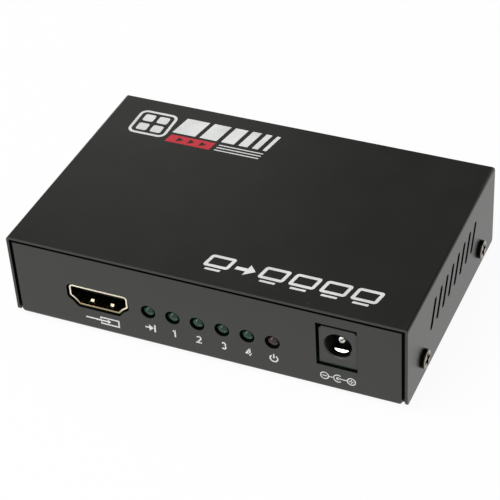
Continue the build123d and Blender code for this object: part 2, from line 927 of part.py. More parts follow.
# Rows of small parts beside the chip, behind the sockets and behind the lamps
chip_row_room = 1.0
chip_row_pitch = 3.0
chip_row_count = 5
array_room = 1.5
array_offset = 2.6
line_room = 3.6
line_pitch_share = 0.4744
line_count = 4
lamp_resistor_room = 3.0
jack_part_room = 4.4
socket_reach = foot_block_back + upper_tail_room + contact_thickness + contact_foot
array_y = socket_front - socket_reach - array_room
line_y = socket_front - socket_reach - line_room
lamp_resistor_y = -lamp_back + lead_run + lamp_resistor_room


def spread(low, high, lengths):
    # Middles of pieces in a row, with equal gaps between them and at both ends
    gap = (high - low - sum(lengths)) / (len(lengths) + 1)
    middles = []
    for length in lengths:
        low += gap
        middles.append(low + length / 2)
        low += length
    return middles


# The larger parts stand in columns between the board screws, clear of the rows of small parts
crystal_long = can_length + 2 * can_flange
crystal_wide = can_width + 2 * can_flange
chip_ring = chip_size + 2 * (chip_reach + chip_row_room) + ceramic_size[1]
regulator_wide = regulator_width + 2 * small_reach
free_half_width = board_half_width - standoff_inset_x - head_radius
line_pitch = line_pitch_share * (free_half_width - output_places[0])
column_widths = [crystal_long, chip_ring, inductor_size, regulator_wide, capacitor_base]
crystal_x, chip_x, inductor_x, regulator_x, capacitor_x = spread(
    -free_half_width, free_half_width, column_widths
)
line_edge = line_y - resistor_size[0] / 2
lamp_row_edge = lamp_resistor_y + resistor_size[0] / 2
jack_back = jack_length + tab_thickness - jack_front
crystal_y, memory_y = spread(-line_edge, line_edge, [crystal_wide, memory_length])
control_y, inductor_y = spread(lamp_row_edge, line_edge, [control_length, inductor_size])
fuse_y, diode_y = spread(-board_half_depth, jack_back, [fuse_size[1], diode_size[1]])
jack_part_x = jack_x - jack_width / 2 - jack_part_room
chip_place = (chip_x, (lamp_row_edge + line_edge) / 2)
crystal_place = (crystal_x, crystal_y)
memory_place = (crystal_x, memory_y)
control_place = (inductor_x, control_y)
inductor_place = (inductor_x, inductor_y)
diode_place = (jack_part_x, diode_y)
fuse_place = (jack_part_x, fuse_y)
regulator_places = [(regulator_x, y) for y in spread(jack_back, line_edge, 2 * [regulator_length])]
capacitor_places = [(capacitor_x, y) for y in spread(jack_back, line_edge, 2 * [capacitor_base])]


def on_board(shape, place):
    return Pos(*place, board_top) * shape


def all_on_board(solids, place):
    return [on_board(solid, place) for solid in solids]


def socket_places():
    return [(input_x, -1)] + [(x, 1) for x in output_places]


def protection_arrays():
    solids = []
    for x, end in socket_places():
        for side in (-1, 1):
            solids.append(on_board(brick(array_size), (x + side * array_offset, end * array_y)))
    return group(solids)


def chip_resistors():
    upright = Rot(0, 0, 90) * brick(resistor_size)
    solids = []
    for x, end in socket_places():
        for i in range(line_count):
            offset_x = line_pitch * (i - (line_count - 1) / 2)
            solids.append(on_board(upright, (x + offset_x, end * line_y)))
    solids += [on_board(upright, (x, lamp_resistor_y)) for x in lamp_places]
    return group(solids)


def chip_ceramics():
    row = []
    distance = chip_size / 2 + chip_reach + chip_row_room
    for i in range(chip_row_count):
        offset_y = chip_row_pitch * (i - (chip_row_count - 1) / 2)
        row.append(Pos(distance, offset_y, 0) * Rot(0, 0, 90) * brick(ceramic_size))
    ring = [Rot(0, 0, 90 * quarter) * solid for quarter in range(4) for solid in row]
    return group(all_on_board(ring, chip_place))


def crystal_wire_holes():
    holes = []
    for side in (-1, 1):
        x = side * can_wire_spacing / 2
        holes.append(round_bar_z(can_wire_hole, -board_thickness - overrun, overrun, x, 0))
    return all_on_board(holes, crystal_place)


def socket_nodes():
    shell = socket_shell()
    insulator = socket_insulator()
    contacts = socket_contacts()
    nodes = {}
    sockets = [("input", input_x, False)]
    sockets += [(f"output_{i + 1}", x, True) for i, x in enumerate(output_places)]
    for name, x, at_rear in sockets:
        nodes[f"{name}_socket_shell"] = place_socket(shell, x, at_rear)
        nodes[f"{name}_socket_insulator"] = place_socket(insulator, x, at_rear)
        nodes[f"{name}_socket_contacts"] = group(place_socket(strip, x, at_rear) for strip in contacts)
    return nodes


def lamp_nodes():
    lens = lamp_lens()
    names = ["input_lamp"] + [f"output_{i + 1}_lamp" for i in range(output_count)] + ["power_lamp"]
    return {name: Pos(x, -panel_outside, lamp_z) * lens for name, x in zip(names, lamp_places)}


def all_nodes():
    body = package_body
    nodes = {
        "base_chassis": base_chassis(),
        "top_cover": top_cover(),
        "cover_screws": cover_screws(),
        "rubber_feet": rubber_feet(),
        "board_standoffs": board_standoffs(),
        "board_screws": board_screws(),
        "main_board": main_board(),
        "power_jack_body": place_jack(jack_body()),
        "power_jack_pin": place_jack(jack_pin_contact()),
        "power_jack_leaf": place_jack(jack_leaf()),
        "power_jack_sleeve_terminal": place_jack(jack_sleeve_terminal()),
        "power_jack_switch_contact": place_jack(jack_switch_contact()),
        "lamp_leads": lamp_leads(),
        "splitter_chip": on_board(body(chip_size, chip_size, chip_height), chip_place),
        "splitter_chip_leads": group(all_on_board(chip_leads(), chip_place)),
        "thermal_pad": on_board(thermal_pad(), chip_place),
        "heat_sink": on_board(heat_sink(), chip_place),
        "crystal_can": on_board(crystal_can(), crystal_place),
        "control_chip": on_board(body(control_width, control_length, control_height), control_place),
        "control_chip_leads": group(all_on_board(small_leads(control_lead_count), control_place)),
        "memory_chip": on_board(body(control_width, memory_length, control_height), memory_place),
        "memory_chip_leads": group(all_on_board(small_leads(memory_lead_count), memory_place)),
        "power_inductor": on_board(inductor_core(), inductor_place),
        "protection_diode": on_board(brick(diode_size), diode_place),
        "resettable_fuse": on_board(brick(fuse_size), fuse_place),
        "protection_arrays": protection_arrays(),
        "chip_resistors": chip_resistors(),
        "chip_ceramics": chip_ceramics(),
    }
    regulator = body(regulator_width, regulator_length, regulator_height)
    pins = [pin for place in regulator_places for pin in all_on_board(regulator_pins(), place)]
    nodes["voltage_regulators"] = group(on_board(regulator, place) for place in regulator_places)
    nodes["regulator_leads"] = group(pins)
    nodes["capacitor_bases"] = group(on_board(capacitor_foot(), place) for place in capacitor_places)
    nodes["capacitor_cans"] = group(on_board(capacitor_can(), place) for place in capacitor_places)
    nodes.update(socket_nodes())
    nodes.update(lamp_nodes())
    return nodes


os.makedirs("parts", exist_ok=True)
for name, shape in all_nodes().items():
    export_step(shape, f"parts/{name}.step")
    print(name)
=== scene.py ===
# Video signal splitter in a folded steel case: finishes, printed marks, lamp insides, stage and camera
import json
import math

import bmesh
import bpy
from mathutils import Matrix, Vector


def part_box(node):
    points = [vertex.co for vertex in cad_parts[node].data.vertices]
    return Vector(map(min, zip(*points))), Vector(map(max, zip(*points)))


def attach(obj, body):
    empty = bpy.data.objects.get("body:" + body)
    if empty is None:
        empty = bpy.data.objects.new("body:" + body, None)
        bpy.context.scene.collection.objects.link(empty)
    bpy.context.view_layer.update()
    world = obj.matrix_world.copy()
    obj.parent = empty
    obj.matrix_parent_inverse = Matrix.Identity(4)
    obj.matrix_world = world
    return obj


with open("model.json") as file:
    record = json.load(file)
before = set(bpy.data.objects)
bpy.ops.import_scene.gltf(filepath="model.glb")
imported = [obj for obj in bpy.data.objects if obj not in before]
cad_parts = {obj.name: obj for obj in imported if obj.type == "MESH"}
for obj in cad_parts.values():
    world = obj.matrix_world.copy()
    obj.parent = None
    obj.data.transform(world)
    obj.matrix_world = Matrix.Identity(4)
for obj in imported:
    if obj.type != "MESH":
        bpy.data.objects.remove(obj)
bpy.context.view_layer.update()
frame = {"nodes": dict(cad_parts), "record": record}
nodes = frame["nodes"]
scene = bpy.context.scene
mm = 0.001
mainBody = "splitter"
print("frame loaded:", len(nodes), "nodes")


# Node helpers
def addNode(tree, kind, inputs=None, **settings):
    node = tree.nodes.new(kind)
    for key, value in settings.items():
        setattr(node, key, value)
    for key, value in (inputs or {}).items():
        if isinstance(value, bpy.types.NodeSocket):
            tree.links.new(value, node.inputs[key])
        else:
            node.inputs[key].default_value = value
    return node


def maths(tree, operation, first, second=0.0, clamp=False):
    node = addNode(tree, "ShaderNodeMath", {0: first, 1: second}, operation=operation, use_clamp=clamp)
    return node.outputs[0]


def mixColour(tree, factor, first, second, blend="MIX"):
    node = addNode(
        tree, "ShaderNodeMix", {0: factor, 6: first, 7: second}, data_type="RGBA", blend_type=blend)
    return node.outputs[2]


def remap(tree, value, low, high, toLow, toHigh):
    node = addNode(tree, "ShaderNodeMapRange", {0: value, 1: low, 2: high, 3: toLow, 4: toHigh})
    return node.outputs[0]


def newGroup(name, inputs, outputs):
    group = bpy.data.node_groups.new(name, "ShaderNodeTree")
    for label, value in inputs.items():
        socket = group.interface.new_socket(label, in_out="INPUT", socket_type="NodeSocketFloat")
        socket.default_value = value
    for label in outputs:
        group.interface.new_socket(label, in_out="OUTPUT", socket_type="NodeSocketFloat")
    source = group.nodes.new("NodeGroupInput")
    sink = group.nodes.new("NodeGroupOutput")
    return group, source.outputs, sink


def noise(tree, vector, scale, detail=2.0, rough=0.5):
    settings = {"Vector": vector, "Scale": scale, "Detail": detail, "Roughness": rough}
    return addNode(tree, "ShaderNodeTexNoise", settings).outputs[0]


def objectPlace(tree):
    return addNode(tree, "ShaderNodeTexCoord").outputs["Object"]


def objectAxes(tree):
    return addNode(tree, "ShaderNodeSeparateXYZ", {0: objectPlace(tree)}).outputs


def normalAxes(tree):
    facing = addNode(tree, "ShaderNodeNewGeometry").outputs["Normal"]
    return addNode(tree, "ShaderNodeSeparateXYZ", {0: facing}).outputs


def feed(tree, label, value):
    tree.links.new(value, tree.nodes["Principled BSDF"].inputs[label])


def fedBy(tree, label):
    return tree.nodes["Principled BSDF"].inputs[label].links[0].from_socket


def axisDistance(tree, first, second, centre):
    # How far a point lies from an axis, from its two coordinates across it
    flat = addNode(tree, "ShaderNodeCombineXYZ", {0: first, 1: second}).outputs[0]
    away = addNode(tree, "ShaderNodeVectorMath", {0: flat, 1: (*centre, 0.0)}, operation="DISTANCE")
    return away.outputs["Value"]


# Shared effects, with the ranges that each one maps from and to
grainOutputs = ("Height", "Tone", "Roughness")
powderEffect = {
    "inputs": {"Grain Scale": 3600.0, "Peel Scale": 700.0, "Roughness": 0.45, "Spread": 0.08},
    "grainDetail": 3.0, "peelDetail": 1.0, "grainShare": 0.45, "peelShare": 0.55, "middle": 0.5,
    "cloudScale": 55.0, "cloudDetail": 2.0, "tones": (0.3, 0.7, 0.93, 1.07),
}


def sendGrain(group, given, sink, height, patterns, middle, tones):
    # A surface grain's three outputs: its height, then tone and roughness, each from its own pattern
    tonePattern, roughPattern = patterns
    spread = maths(group, "MULTIPLY", maths(group, "SUBTRACT", roughPattern, middle), given["Spread"])
    group.links.new(height, sink.inputs["Height"])
    group.links.new(remap(group, tonePattern, *tones), sink.inputs["Tone"])
    group.links.new(maths(group, "ADD", given["Roughness"], spread), sink.inputs["Roughness"])


def powderGrainGroup():
    # Orange peel and fine grain of a baked powder coat, with slow clouds in its tone
    settings = powderEffect
    group, given, sink = newGroup("powderGrain", settings["inputs"], grainOutputs)
    place = objectPlace(group)
    grain = noise(group, place, given["Grain Scale"], settings["grainDetail"])
    peel = noise(group, place, given["Peel Scale"], settings["peelDetail"])
    clouds = noise(group, place, settings["cloudScale"], settings["cloudDetail"])
    fine = maths(group, "MULTIPLY", grain, settings["grainShare"])
    broad = maths(group, "MULTIPLY", peel, settings["peelShare"])
    height = maths(group, "ADD", fine, broad)
    sendGrain(group, given, sink, height, (clouds, grain), settings["middle"], settings["tones"])
    return group


metalEffect = {
    "inputs": {"Line Scale": 900.0, "Stretch": 12.0, "Roughness": 0.25, "Spread": 0.12},
    "lineDetail": 2.0, "lineRoughness": 0.6, "markScale": 260.0, "markDetail": 4.0, "markRoughness": 0.65,
    "middle": 0.45, "tones": (0.35, 0.75, 1.04, 0.86),
}


def metalGrainGroup():
    # Fine drawn lines and faint handling marks on plated sheet
    settings = metalEffect
    group, given, sink = newGroup("metalGrain", settings["inputs"], grainOutputs)
    place = objectPlace(group)
    stretch = addNode(group, "ShaderNodeCombineXYZ", {0: 1.0, 1: 1.0, 2: given["Stretch"]}).outputs[0]
    drawn = addNode(group, "ShaderNodeVectorMath", {0: place, 1: stretch}, operation="MULTIPLY").outputs[0]
    lines = noise(group, drawn, given["Line Scale"], settings["lineDetail"], settings["lineRoughness"])
    marks = noise(group, place, settings["markScale"], settings["markDetail"], settings["markRoughness"])
    sendGrain(group, given, sink, lines, (marks, marks), settings["middle"], settings["tones"])
    return group


mouldedEffect = {
    "inputs": {"Scale": 2400.0, "Roughness": 0.5, "Spread": 0.1},
    "flowScale": 180.0, "flowDetail": 3.0, "middle": 0.5, "tones": (0.3, 0.7, 0.9, 1.1),
}


def mouldedGroup():
    # Spark-eroded skin of a moulded part
    settings = mouldedEffect
    group, given, sink = newGroup("mouldedSkin", settings["inputs"], grainOutputs)
    place = objectPlace(group)
    pattern = {"Vector": place, "Scale": given["Scale"]}
    cells = addNode(group, "ShaderNodeTexVoronoi", pattern).outputs["Distance"]
    flow = noise(group, place, settings["flowScale"], settings["flowDetail"])
    sendGrain(group, given, sink, cells, (flow, flow), settings["middle"], settings["tones"])
    return group


dustEffect = {
    "inputs": {"Amount": 0.05, "Speck Scale": 520.0}, "facing": (0.5, 1.0, 0.0, 1.0),
    "filmScale": 90.0, "filmDetail": 4.0, "film": (0.35, 0.75, 0.0, 1.0),
    "speckDetail": 1.0, "specks": (0.76, 0.8, 0.0, 3.0),
}


def dustGroup():
    # A thin film on faces that look up, and a few specks in it
    settings = dustEffect
    group, given, sink = newGroup("restingDust", settings["inputs"], ("Mask",))
    place = objectPlace(group)
    facing = remap(group, normalAxes(group)[2], *settings["facing"])
    filmNoise = noise(group, place, settings["filmScale"], settings["filmDetail"])
    film = remap(group, filmNoise, *settings["film"])
    speckNoise = noise(group, place, given["Speck Scale"], settings["speckDetail"])
    specks = remap(group, speckNoise, *settings["specks"])
    both = maths(group, "ADD", film, specks)
    mask = maths(group, "MULTIPLY", maths(group, "MULTIPLY", facing, both), given["Amount"])
    group.links.new(mask, sink.inputs["Mask"])
    return group


paintedShadeBoxEffect = {"inputs": {"Half Width": 0.05, "Half Depth": 0.03, "Low": 0.0, "High": 0.02}}


def paintedShadeBoxGroup():
    # Mask for painted shade: 1 inside the case and on the walls of its openings, 0 on its outer faces
    group, given, sink = newGroup("paintedShadeBox", paintedShadeBoxEffect["inputs"], ("Mask",))
    axes = objectAxes(group)
    across = maths(group, "LESS_THAN", maths(group, "ABSOLUTE", axes[0]), given["Half Width"])
    along = maths(group, "LESS_THAN", maths(group, "ABSOLUTE", axes[1]), given["Half Depth"])
    above = maths(group, "GREATER_THAN", axes[2], given["Low"])
    below = maths(group, "LESS_THAN", axes[2], given["High"])
    level = maths(group, "MULTIPLY", across, along)
    upright = maths(group, "MULTIPLY", above, below)
    group.links.new(maths(group, "MULTIPLY", level, upright), sink.inputs["Mask"])
    return group


lensPaintedLightEffect = {
    "inputs": {"Start": 0.46, "End": 0.86, "Sideways": 0.26},
    "startWidth": 0.18, "endWidth": 0.05, "leastAway": 0.01, "low": (0.25, -0.7, 0.0, 1.0),
}


def lensPaintedLightGroup():
    # Painted light and shade on a dome that faces the front: a pale crescent low in it stands in for light
    # gathered through the dome, inside a dark edge of painted shade from the rim of its hole
    settings = lensPaintedLightEffect
    group, given, sink = newGroup("lensPaintedLight", settings["inputs"], ("Crescent", "ShadedEdge"))
    axes = normalAxes(group)
    away = axisDistance(group, axes[0], axes[2], (0.0, 0.0))
    startEnd = maths(group, "ADD", given["Start"], settings["startWidth"])
    inner = remap(group, away, given["Start"], startEnd, 0.0, 1.0)
    edgeStart = maths(group, "SUBTRACT", given["End"], settings["endWidth"])
    edge = remap(group, away, edgeStart, given["End"], 0.0, 1.0)
    down = maths(group, "ADD", maths(group, "MULTIPLY", axes[0], given["Sideways"]), axes[2])
    downShare = maths(group, "DIVIDE", down, maths(group, "MAXIMUM", away, settings["leastAway"]))
    low = remap(group, downShare, *settings["low"])
    band = maths(group, "MULTIPLY", inner, maths(group, "SUBTRACT", 1.0, edge))
    group.links.new(maths(group, "MULTIPLY", band, low), sink.inputs["Crescent"])
    group.links.new(edge, sink.inputs["ShadedEdge"])
    return group


effects = {
    "powder": powderGrainGroup(), "metal": metalGrainGroup(), "moulded": mouldedGroup(),
    "dust": dustGroup(), "inside": paintedShadeBoxGroup(), "glow": lensPaintedLightGroup(),
}
dustColour = (0.42, 0.41, 0.38, 1.0)
print("shared effects built")


def finish(name, colour, effect, settings=None, bump=0.1, depth=0.02, dust=0.0, **shader):
    # A Principled shader whose tone, roughness and bump come from a shared effect; depth in mm
    material = bpy.data.materials.new(name)
    material.use_nodes = True
    tree = material.node_tree
    surface = tree.nodes["Principled BSDF"]
    grain = addNode(tree, "ShaderNodeGroup", node_tree=effects[effect])
    for label, value in (settings or {}).items():
        grain.inputs[label].default_value = value
    tones = grain.outputs["Tone"]
    tone = addNode(tree, "ShaderNodeCombineColor", {0: tones, 1: tones, 2: tones})
    shade = mixColour(tree, 1.0, (*colour, 1.0), tone.outputs[0], "MULTIPLY")
    if dust:
        film = addNode(tree, "ShaderNodeGroup", {"Amount": dust}, node_tree=effects["dust"])
        shade = mixColour(tree, film.outputs["Mask"], shade, dustColour)
    tree.links.new(shade, surface.inputs["Base Color"])
    tree.links.new(grain.outputs["Roughness"], surface.inputs["Roughness"])
    height = grain.outputs["Height"]
    slope = {"Height": height, "Strength": bump, "Distance": depth * mm}
    relief = addNode(tree, "ShaderNodeBump", slope)
    tree.links.new(relief.outputs[0], surface.inputs["Normal"])
    for label, value in shader.items():
        surface.inputs[label.replace("_", " ")].default_value = value
    return material


# Finishes, one for each slot of the record
caseFinish = {
    "colour": (0.0062, 0.0068, 0.0054), "roughness": 0.36, "spread": 0.08, "bump": 0.3, "depth": 0.03,
    # The inside colour and roughness paint shade inside the case and on the walls of its openings
    "dust": 0.008, "ior": 1.58, "tint": (0.98, 1.0, 0.93, 1.0), "insideShadeColour": (0.006, 0.007, 0.006, 1.0),
    "insideShadeRoughness": 0.95, "skin": 0.02, "floorRoom": 1.4, "topRoom": 0.75,  # the last three in mm
}


def caseMaterial():
    # Powder coat, with painted shade inside the case and on the walls of its openings: there it turns a dark,
    # dull metallic coat that reflects almost nothing
    settings = caseFinish
    material = finish(
        "satinPowderCoat", settings["colour"], "powder",
        {"Roughness": settings["roughness"], "Spread": settings["spread"]},
        bump=settings["bump"], depth=settings["depth"], dust=settings["dust"], IOR=settings["ior"],
        Specular_Tint=settings["tint"])
    tree = material.node_tree
    skin = settings["skin"] * mm
    cover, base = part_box("top_cover"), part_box("base_chassis")
    inside = addNode(tree, "ShaderNodeGroup", {
        "Half Width": cover[1].x - skin, "Half Depth": base[1].y - skin,
        "Low": cover[0].z + settings["floorRoom"] * mm, "High": cover[1].z - settings["topRoom"] * mm,
    }, node_tree=effects["inside"]).outputs["Mask"]
    # Painted shade: inside the case the coat goes dark and fully metallic, so neither diffuse light nor the
    # paint's sheen shows there
    feed(tree, "Base Color", mixColour(tree, inside, fedBy(tree, "Base Color"), settings["insideShadeColour"]))
    feed(tree, "Metallic", inside)
    # The painted shade is dull as well, so the walls stay dark at a slant
    dull = maths(tree, "MULTIPLY", inside, settings["insideShadeRoughness"])
    feed(tree, "Roughness", maths(tree, "MAXIMUM", fedBy(tree, "Roughness"), dull))
    return material


lensFinish = {
    # The pale colours are a painted glow, and the edge colour is painted shade at the dome's rim
    "green": {"core": (0.003, 0.042, 0.018), "pale": (0.1, 0.16, 0.122)},
    "red": {"core": (0.035, 0.013, 0.015), "pale": (0.14, 0.1, 0.085)},
    "edge": (0.002, 0.006, 0.004, 1.0), "unlit": (0.0, 0.0, 0.0, 1.0),
    "skin": {"Scale": 600.0, "Roughness": 0.07, "Spread": 0.03}, "bump": 0.02, "depth": 0.005,
    "ior": 1.5, "clear": 0.25, "shine": 0.35,
}


def lens(name, colours):
    # Tinted clear dome; the light gathered in it is painted as a faint glow of its own, and its edge is
    # painted dark as shade
    settings = lensFinish
    material = finish(
        name, colours["core"], "moulded", settings["skin"], bump=settings["bump"], depth=settings["depth"],
        IOR=settings["ior"], Transmission_Weight=settings["clear"], Specular_IOR_Level=settings["shine"],
        Emission_Strength=1.0)
    tree = material.node_tree
    glow = addNode(tree, "ShaderNodeGroup", node_tree=effects["glow"]).outputs
    # Painted shade: the dome goes dark towards its edge
    feed(tree, "Base Color", mixColour(tree, glow["ShadedEdge"], fedBy(tree, "Base Color"), settings["edge"]))
    # Painted light: the crescent glows through Emission
    lit = mixColour(tree, glow["Crescent"], settings["unlit"], (*colours["pale"], 1.0))
    feed(tree, "Emission Color", lit)
    return material


boreFinish = {  # fade, radius and behind in mm from the middle of the jack's mouth
    "plastic": (0.026, 0.028, 0.024), "skin": {"Scale": 2600.0, "Roughness": 0.42},
    # The left and right colours are painted shade and painted light across the bore
    "left": (0.003, 0.003, 0.003, 1.0), "right": (0.12, 0.11, 0.085, 1.0), "fade": (-1.6, 0.6),
    "roughness": 0.55, "radius": 3.4, "behind": 0.7,
}
jackMouth = next(entry["pos_m"] for entry in frame["record"]["mounts"] if entry["name"] == "power_jack")


def jackMaterial():
    # Moulded black plastic, dull down in the bore, with painted shade on the bore's left and painted light on
    # its right
    settings = boreFinish
    material = finish("jackPlastic", settings["plastic"], "moulded", settings["skin"], bump=0.2, depth=0.02)
    tree = material.node_tree
    x, front, z = jackMouth
    axes = objectAxes(tree)
    away = axisDistance(tree, axes[0], axes[2], (x, z))
    within = maths(tree, "LESS_THAN", away, settings["radius"] * mm)
    deep = maths(tree, "GREATER_THAN", axes[1], front + settings["behind"] * mm)
    mask = maths(tree, "MULTIPLY", within, deep)
    # Painted shade and light across the bore: dark on its left, lighter on its right
    start, end = settings["fade"]
    side = remap(tree, axes[0], x + start * mm, x + end * mm, 0.0, 1.0)
    paintedBoreLight = mixColour(tree, side, settings["left"], settings["right"])
    feed(tree, "Base Color", mixColour(tree, mask, fedBy(tree, "Base Color"), paintedBoreLight))
    dull = maths(tree, "MULTIPLY", mask, settings["roughness"])
    feed(tree, "Roughness", maths(tree, "MAXIMUM", fedBy(tree, "Roughness"), dull))
    return material


shellFinish = {  # lip in mm behind the shell's front, shade in mm below its top, beyond the part in metres
    "plating": (0.9, 0.82, 0.66),
    "drawn": {"Line Scale": 800.0, "Stretch": 1.0, "Roughness": 0.2, "Spread": 0.12},
    # The inside and under colours are painted shade
    "inside": (0.34, 0.28, 0.2, 1.0), "under": (0.38, 0.31, 0.19, 1.0), "lip": 0.12, "shade": (5.0, 3.4),
    "beyond": 1.0,
}


def shellMaterial():
    # Pale gold plating, with painted shade inside the shell and towards its lower edge
    settings = shellFinish
    material = finish(
        "paleGoldShell", settings["plating"], "metal", settings["drawn"], bump=0.06, Metallic=1.0)
    tree = material.node_tree
    lowCorner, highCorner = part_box("input_socket_shell")
    beyond = settings["beyond"]
    # Painted shade inside the shell, behind its lip
    inside = addNode(tree, "ShaderNodeGroup", {
        "Half Width": beyond, "Half Depth": -lowCorner.y - settings["lip"] * mm,
        "Low": -beyond, "High": beyond,
    }, node_tree=effects["inside"]).outputs["Mask"]
    # Painted shade: the plating darkens towards the lower edge
    low, high = settings["shade"]
    under = remap(tree, objectAxes(tree)[2], highCorner.z - low * mm, highCorner.z - high * mm, 1.0, 0.0)
    shaded = mixColour(tree, under, fedBy(tree, "Base Color"), settings["under"])
    feed(tree, "Base Color", mixColour(tree, inside, shaded, settings["inside"]))
    return material


screwFinish = {  # recessRadius and flat in mm
    "zinc": (0.014, 0.013, 0.012),
    "drawn": {"Line Scale": 700.0, "Stretch": 1.0, "Roughness": 0.34, "Spread": 0.2},
    # The steel colour is a painted sheen on the flats of the heads
    "steel": (0.36, 0.33, 0.26, 1.0), "recess": (0.01, 0.009, 0.008, 1.0), "recessRadius": 1.8, "flat": 0.1,
    "rubScale": 900.0, "rubDetail": 3.0, "rubbed": (0.3, 0.6, 0.5, 1.0), "facing": (0.35, 0.8, 0.0, 1.0),
}


def screwMaterial():
    # Black zinc, with the flat of the head painted as lighter steel: a painted sheen for the light that face
    # reflects, broken up in rubbed patches and kept dark in its recess
    settings = screwFinish
    material = finish("blackZincScrew", settings["zinc"], "metal", settings["drawn"], bump=0.08, Metallic=1.0)
    tree = material.node_tree
    # Painted sheen: faces turned sideways, the flats of the heads, get lighter steel in rubbed patches
    across = maths(tree, "ABSOLUTE", normalAxes(tree)[0])
    rubs = noise(tree, objectPlace(tree), settings["rubScale"], settings["rubDetail"])
    rubbed = remap(tree, rubs, *settings["rubbed"])
    rubbedSheen = maths(tree, "MULTIPLY", remap(tree, across, *settings["facing"]), rubbed)
    steel = mixColour(tree, rubbedSheen, fedBy(tree, "Base Color"), settings["steel"])
    # All four recesses, folded onto one by their distance from the middle of the case
    place = [maths(tree, "ABSOLUTE", axis) for axis in objectAxes(tree)]
    lowCorner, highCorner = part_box("cover_screws")
    head = (highCorner.z - lowCorner.z) / 2
    away = axisDistance(tree, place[1], place[2], (highCorner.y - head, lowCorner.z + head))
    within = maths(tree, "LESS_THAN", away, settings["recessRadius"] * mm)
    sunk = maths(tree, "LESS_THAN", place[0], highCorner.x - settings["flat"] * mm)
    recess = maths(tree, "MULTIPLY", within, sunk)
    feed(tree, "Base Color", mixColour(tree, recess, steel, settings["recess"]))
    return material


boardFinish = {
    "mask": (0.012, 0.075, 0.03), "skin": {"Scale": 1500.0, "Roughness": 0.3, "Spread": 0.08},
    "tracks": {"Scale": 260.0, "Mortar Size": 0.035, "Row Height": 0.3, "Brick Width": 1.7},
    "offset": 0.37, "squash": 1.6, "squashEvery": 3, "overCopper": (0.04, 0.2, 0.07, 1.0),
    "areaScale": 120.0, "areaDetail": 1.0, "area": (0.5, 0.54, 0.0, 1.0),
}


def boardMaterial():
    # Green solder mask, lighter over the copper tracks
    settings = boardFinish
    material = finish("solderMask", settings["mask"], "moulded", settings["skin"], bump=0.1, depth=0.02)
    tree = material.node_tree
    place = objectPlace(tree)
    blocks = addNode(
        tree, "ShaderNodeTexBrick", {"Vector": place, **settings["tracks"]},
        offset=settings["offset"], squash=settings["squash"], squash_frequency=settings["squashEvery"])
    areas = noise(tree, place, settings["areaScale"], settings["areaDetail"])
    track = maths(tree, "MULTIPLY", blocks.outputs["Fac"], remap(tree, areas, *settings["area"]))
    feed(tree, "Base Color", mixColour(tree, track, fedBy(tree, "Base Color"), settings["overCopper"]))
    return material


plainFinishes = {
    "foot_rubber": (
        "footRubber", (0.018, 0.018, 0.018), "moulded", {"Scale": 1800.0, "Roughness": 0.75},
        {"bump": 0.35, "depth": 0.05}),
    "standoff_brass": (
        "platedStandoff", (0.66, 0.62, 0.52), "metal", {"Roughness": 0.32}, {"bump": 0.08, "Metallic": 1.0}),
    "plated_contact": (
        "brightPlating", (0.84, 0.83, 0.79), "metal",
        {"Line Scale": 500.0, "Stretch": 1.0, "Roughness": 0.14, "Spread": 0.1},
        {"bump": 0.04, "Metallic": 1.0}),
    "socket_plastic": (
        "socketPlastic", (0.004, 0.004, 0.004), "moulded", {"Roughness": 0.6},
        {"bump": 0.15, "Specular_IOR_Level": 0.15}),
    "gold_contact": (
        "contactGold", (0.9, 0.66, 0.3), "metal", {"Line Scale": 1200.0, "Roughness": 0.18},
        {"bump": 0.04, "Metallic": 1.0}),
    "package_plastic": (
        "packageEpoxy", (0.022, 0.022, 0.024), "moulded", {"Scale": 3000.0, "Roughness": 0.55},
        {"bump": 0.25, "depth": 0.02}),
    "pad_silicone": (
        "thermalPad", (0.3, 0.34, 0.4), "moulded", {"Roughness": 0.8}, {"bump": 0.3, "depth": 0.03}),
    "sink_aluminium": (
        "blackAnodised", (0.03, 0.03, 0.032), "metal", {"Line Scale": 600.0, "Roughness": 0.45},
        {"bump": 0.15, "Metallic": 0.7}),
    "crystal_steel": (
        "brightCan", (0.7, 0.69, 0.66), "metal", {"Roughness": 0.22}, {"bump": 0.06, "Metallic": 1.0}),
    "core_ferrite": (
        "pressedFerrite", (0.06, 0.06, 0.062), "moulded", {"Scale": 1100.0, "Roughness": 0.6},
        {"bump": 0.4, "depth": 0.04}),
    "capacitor_aluminium": (
        "capacitorCan", (0.78, 0.78, 0.77), "metal", {"Line Scale": 900.0, "Roughness": 0.26},
        {"bump": 0.06, "Metallic": 1.0}),
    "ceramic_body": ("ceramicBody", (0.36, 0.24, 0.13), "moulded", {"Roughness": 0.4}, {"bump": 0.1}),
    "resistor_body": ("resistorGlaze", (0.02, 0.02, 0.022), "moulded", {"Roughness": 0.25}, {"bump": 0.08}),
    "fuse_body": ("fusePolymer", (0.05, 0.13, 0.05), "moulded", {"Roughness": 0.5}, {"bump": 0.15}),
}
finishes = {
    "case_coating": caseMaterial(), "screw_steel": screwMaterial(), "board_laminate": boardMaterial(),
    "jack_plastic": jackMaterial(), "socket_steel": shellMaterial(),
    "green_lens": lens("greenLens", lensFinish["green"]), "red_lens": lens("redLens", lensFinish["red"]),
}
for slotName, (name, colour, effect, inputs, beside) in plainFinishes.items():
    finishes[slotName] = finish(name, colour, effect, inputs, **beside)
for entry in frame["record"]["subparts"]:
    shown = nodes[entry["node"]]
    for materialSlot in shown.material_slots:
        materialSlot.material = finishes[entry["material_slot"]]
print("finishes assigned:", len(finishes))


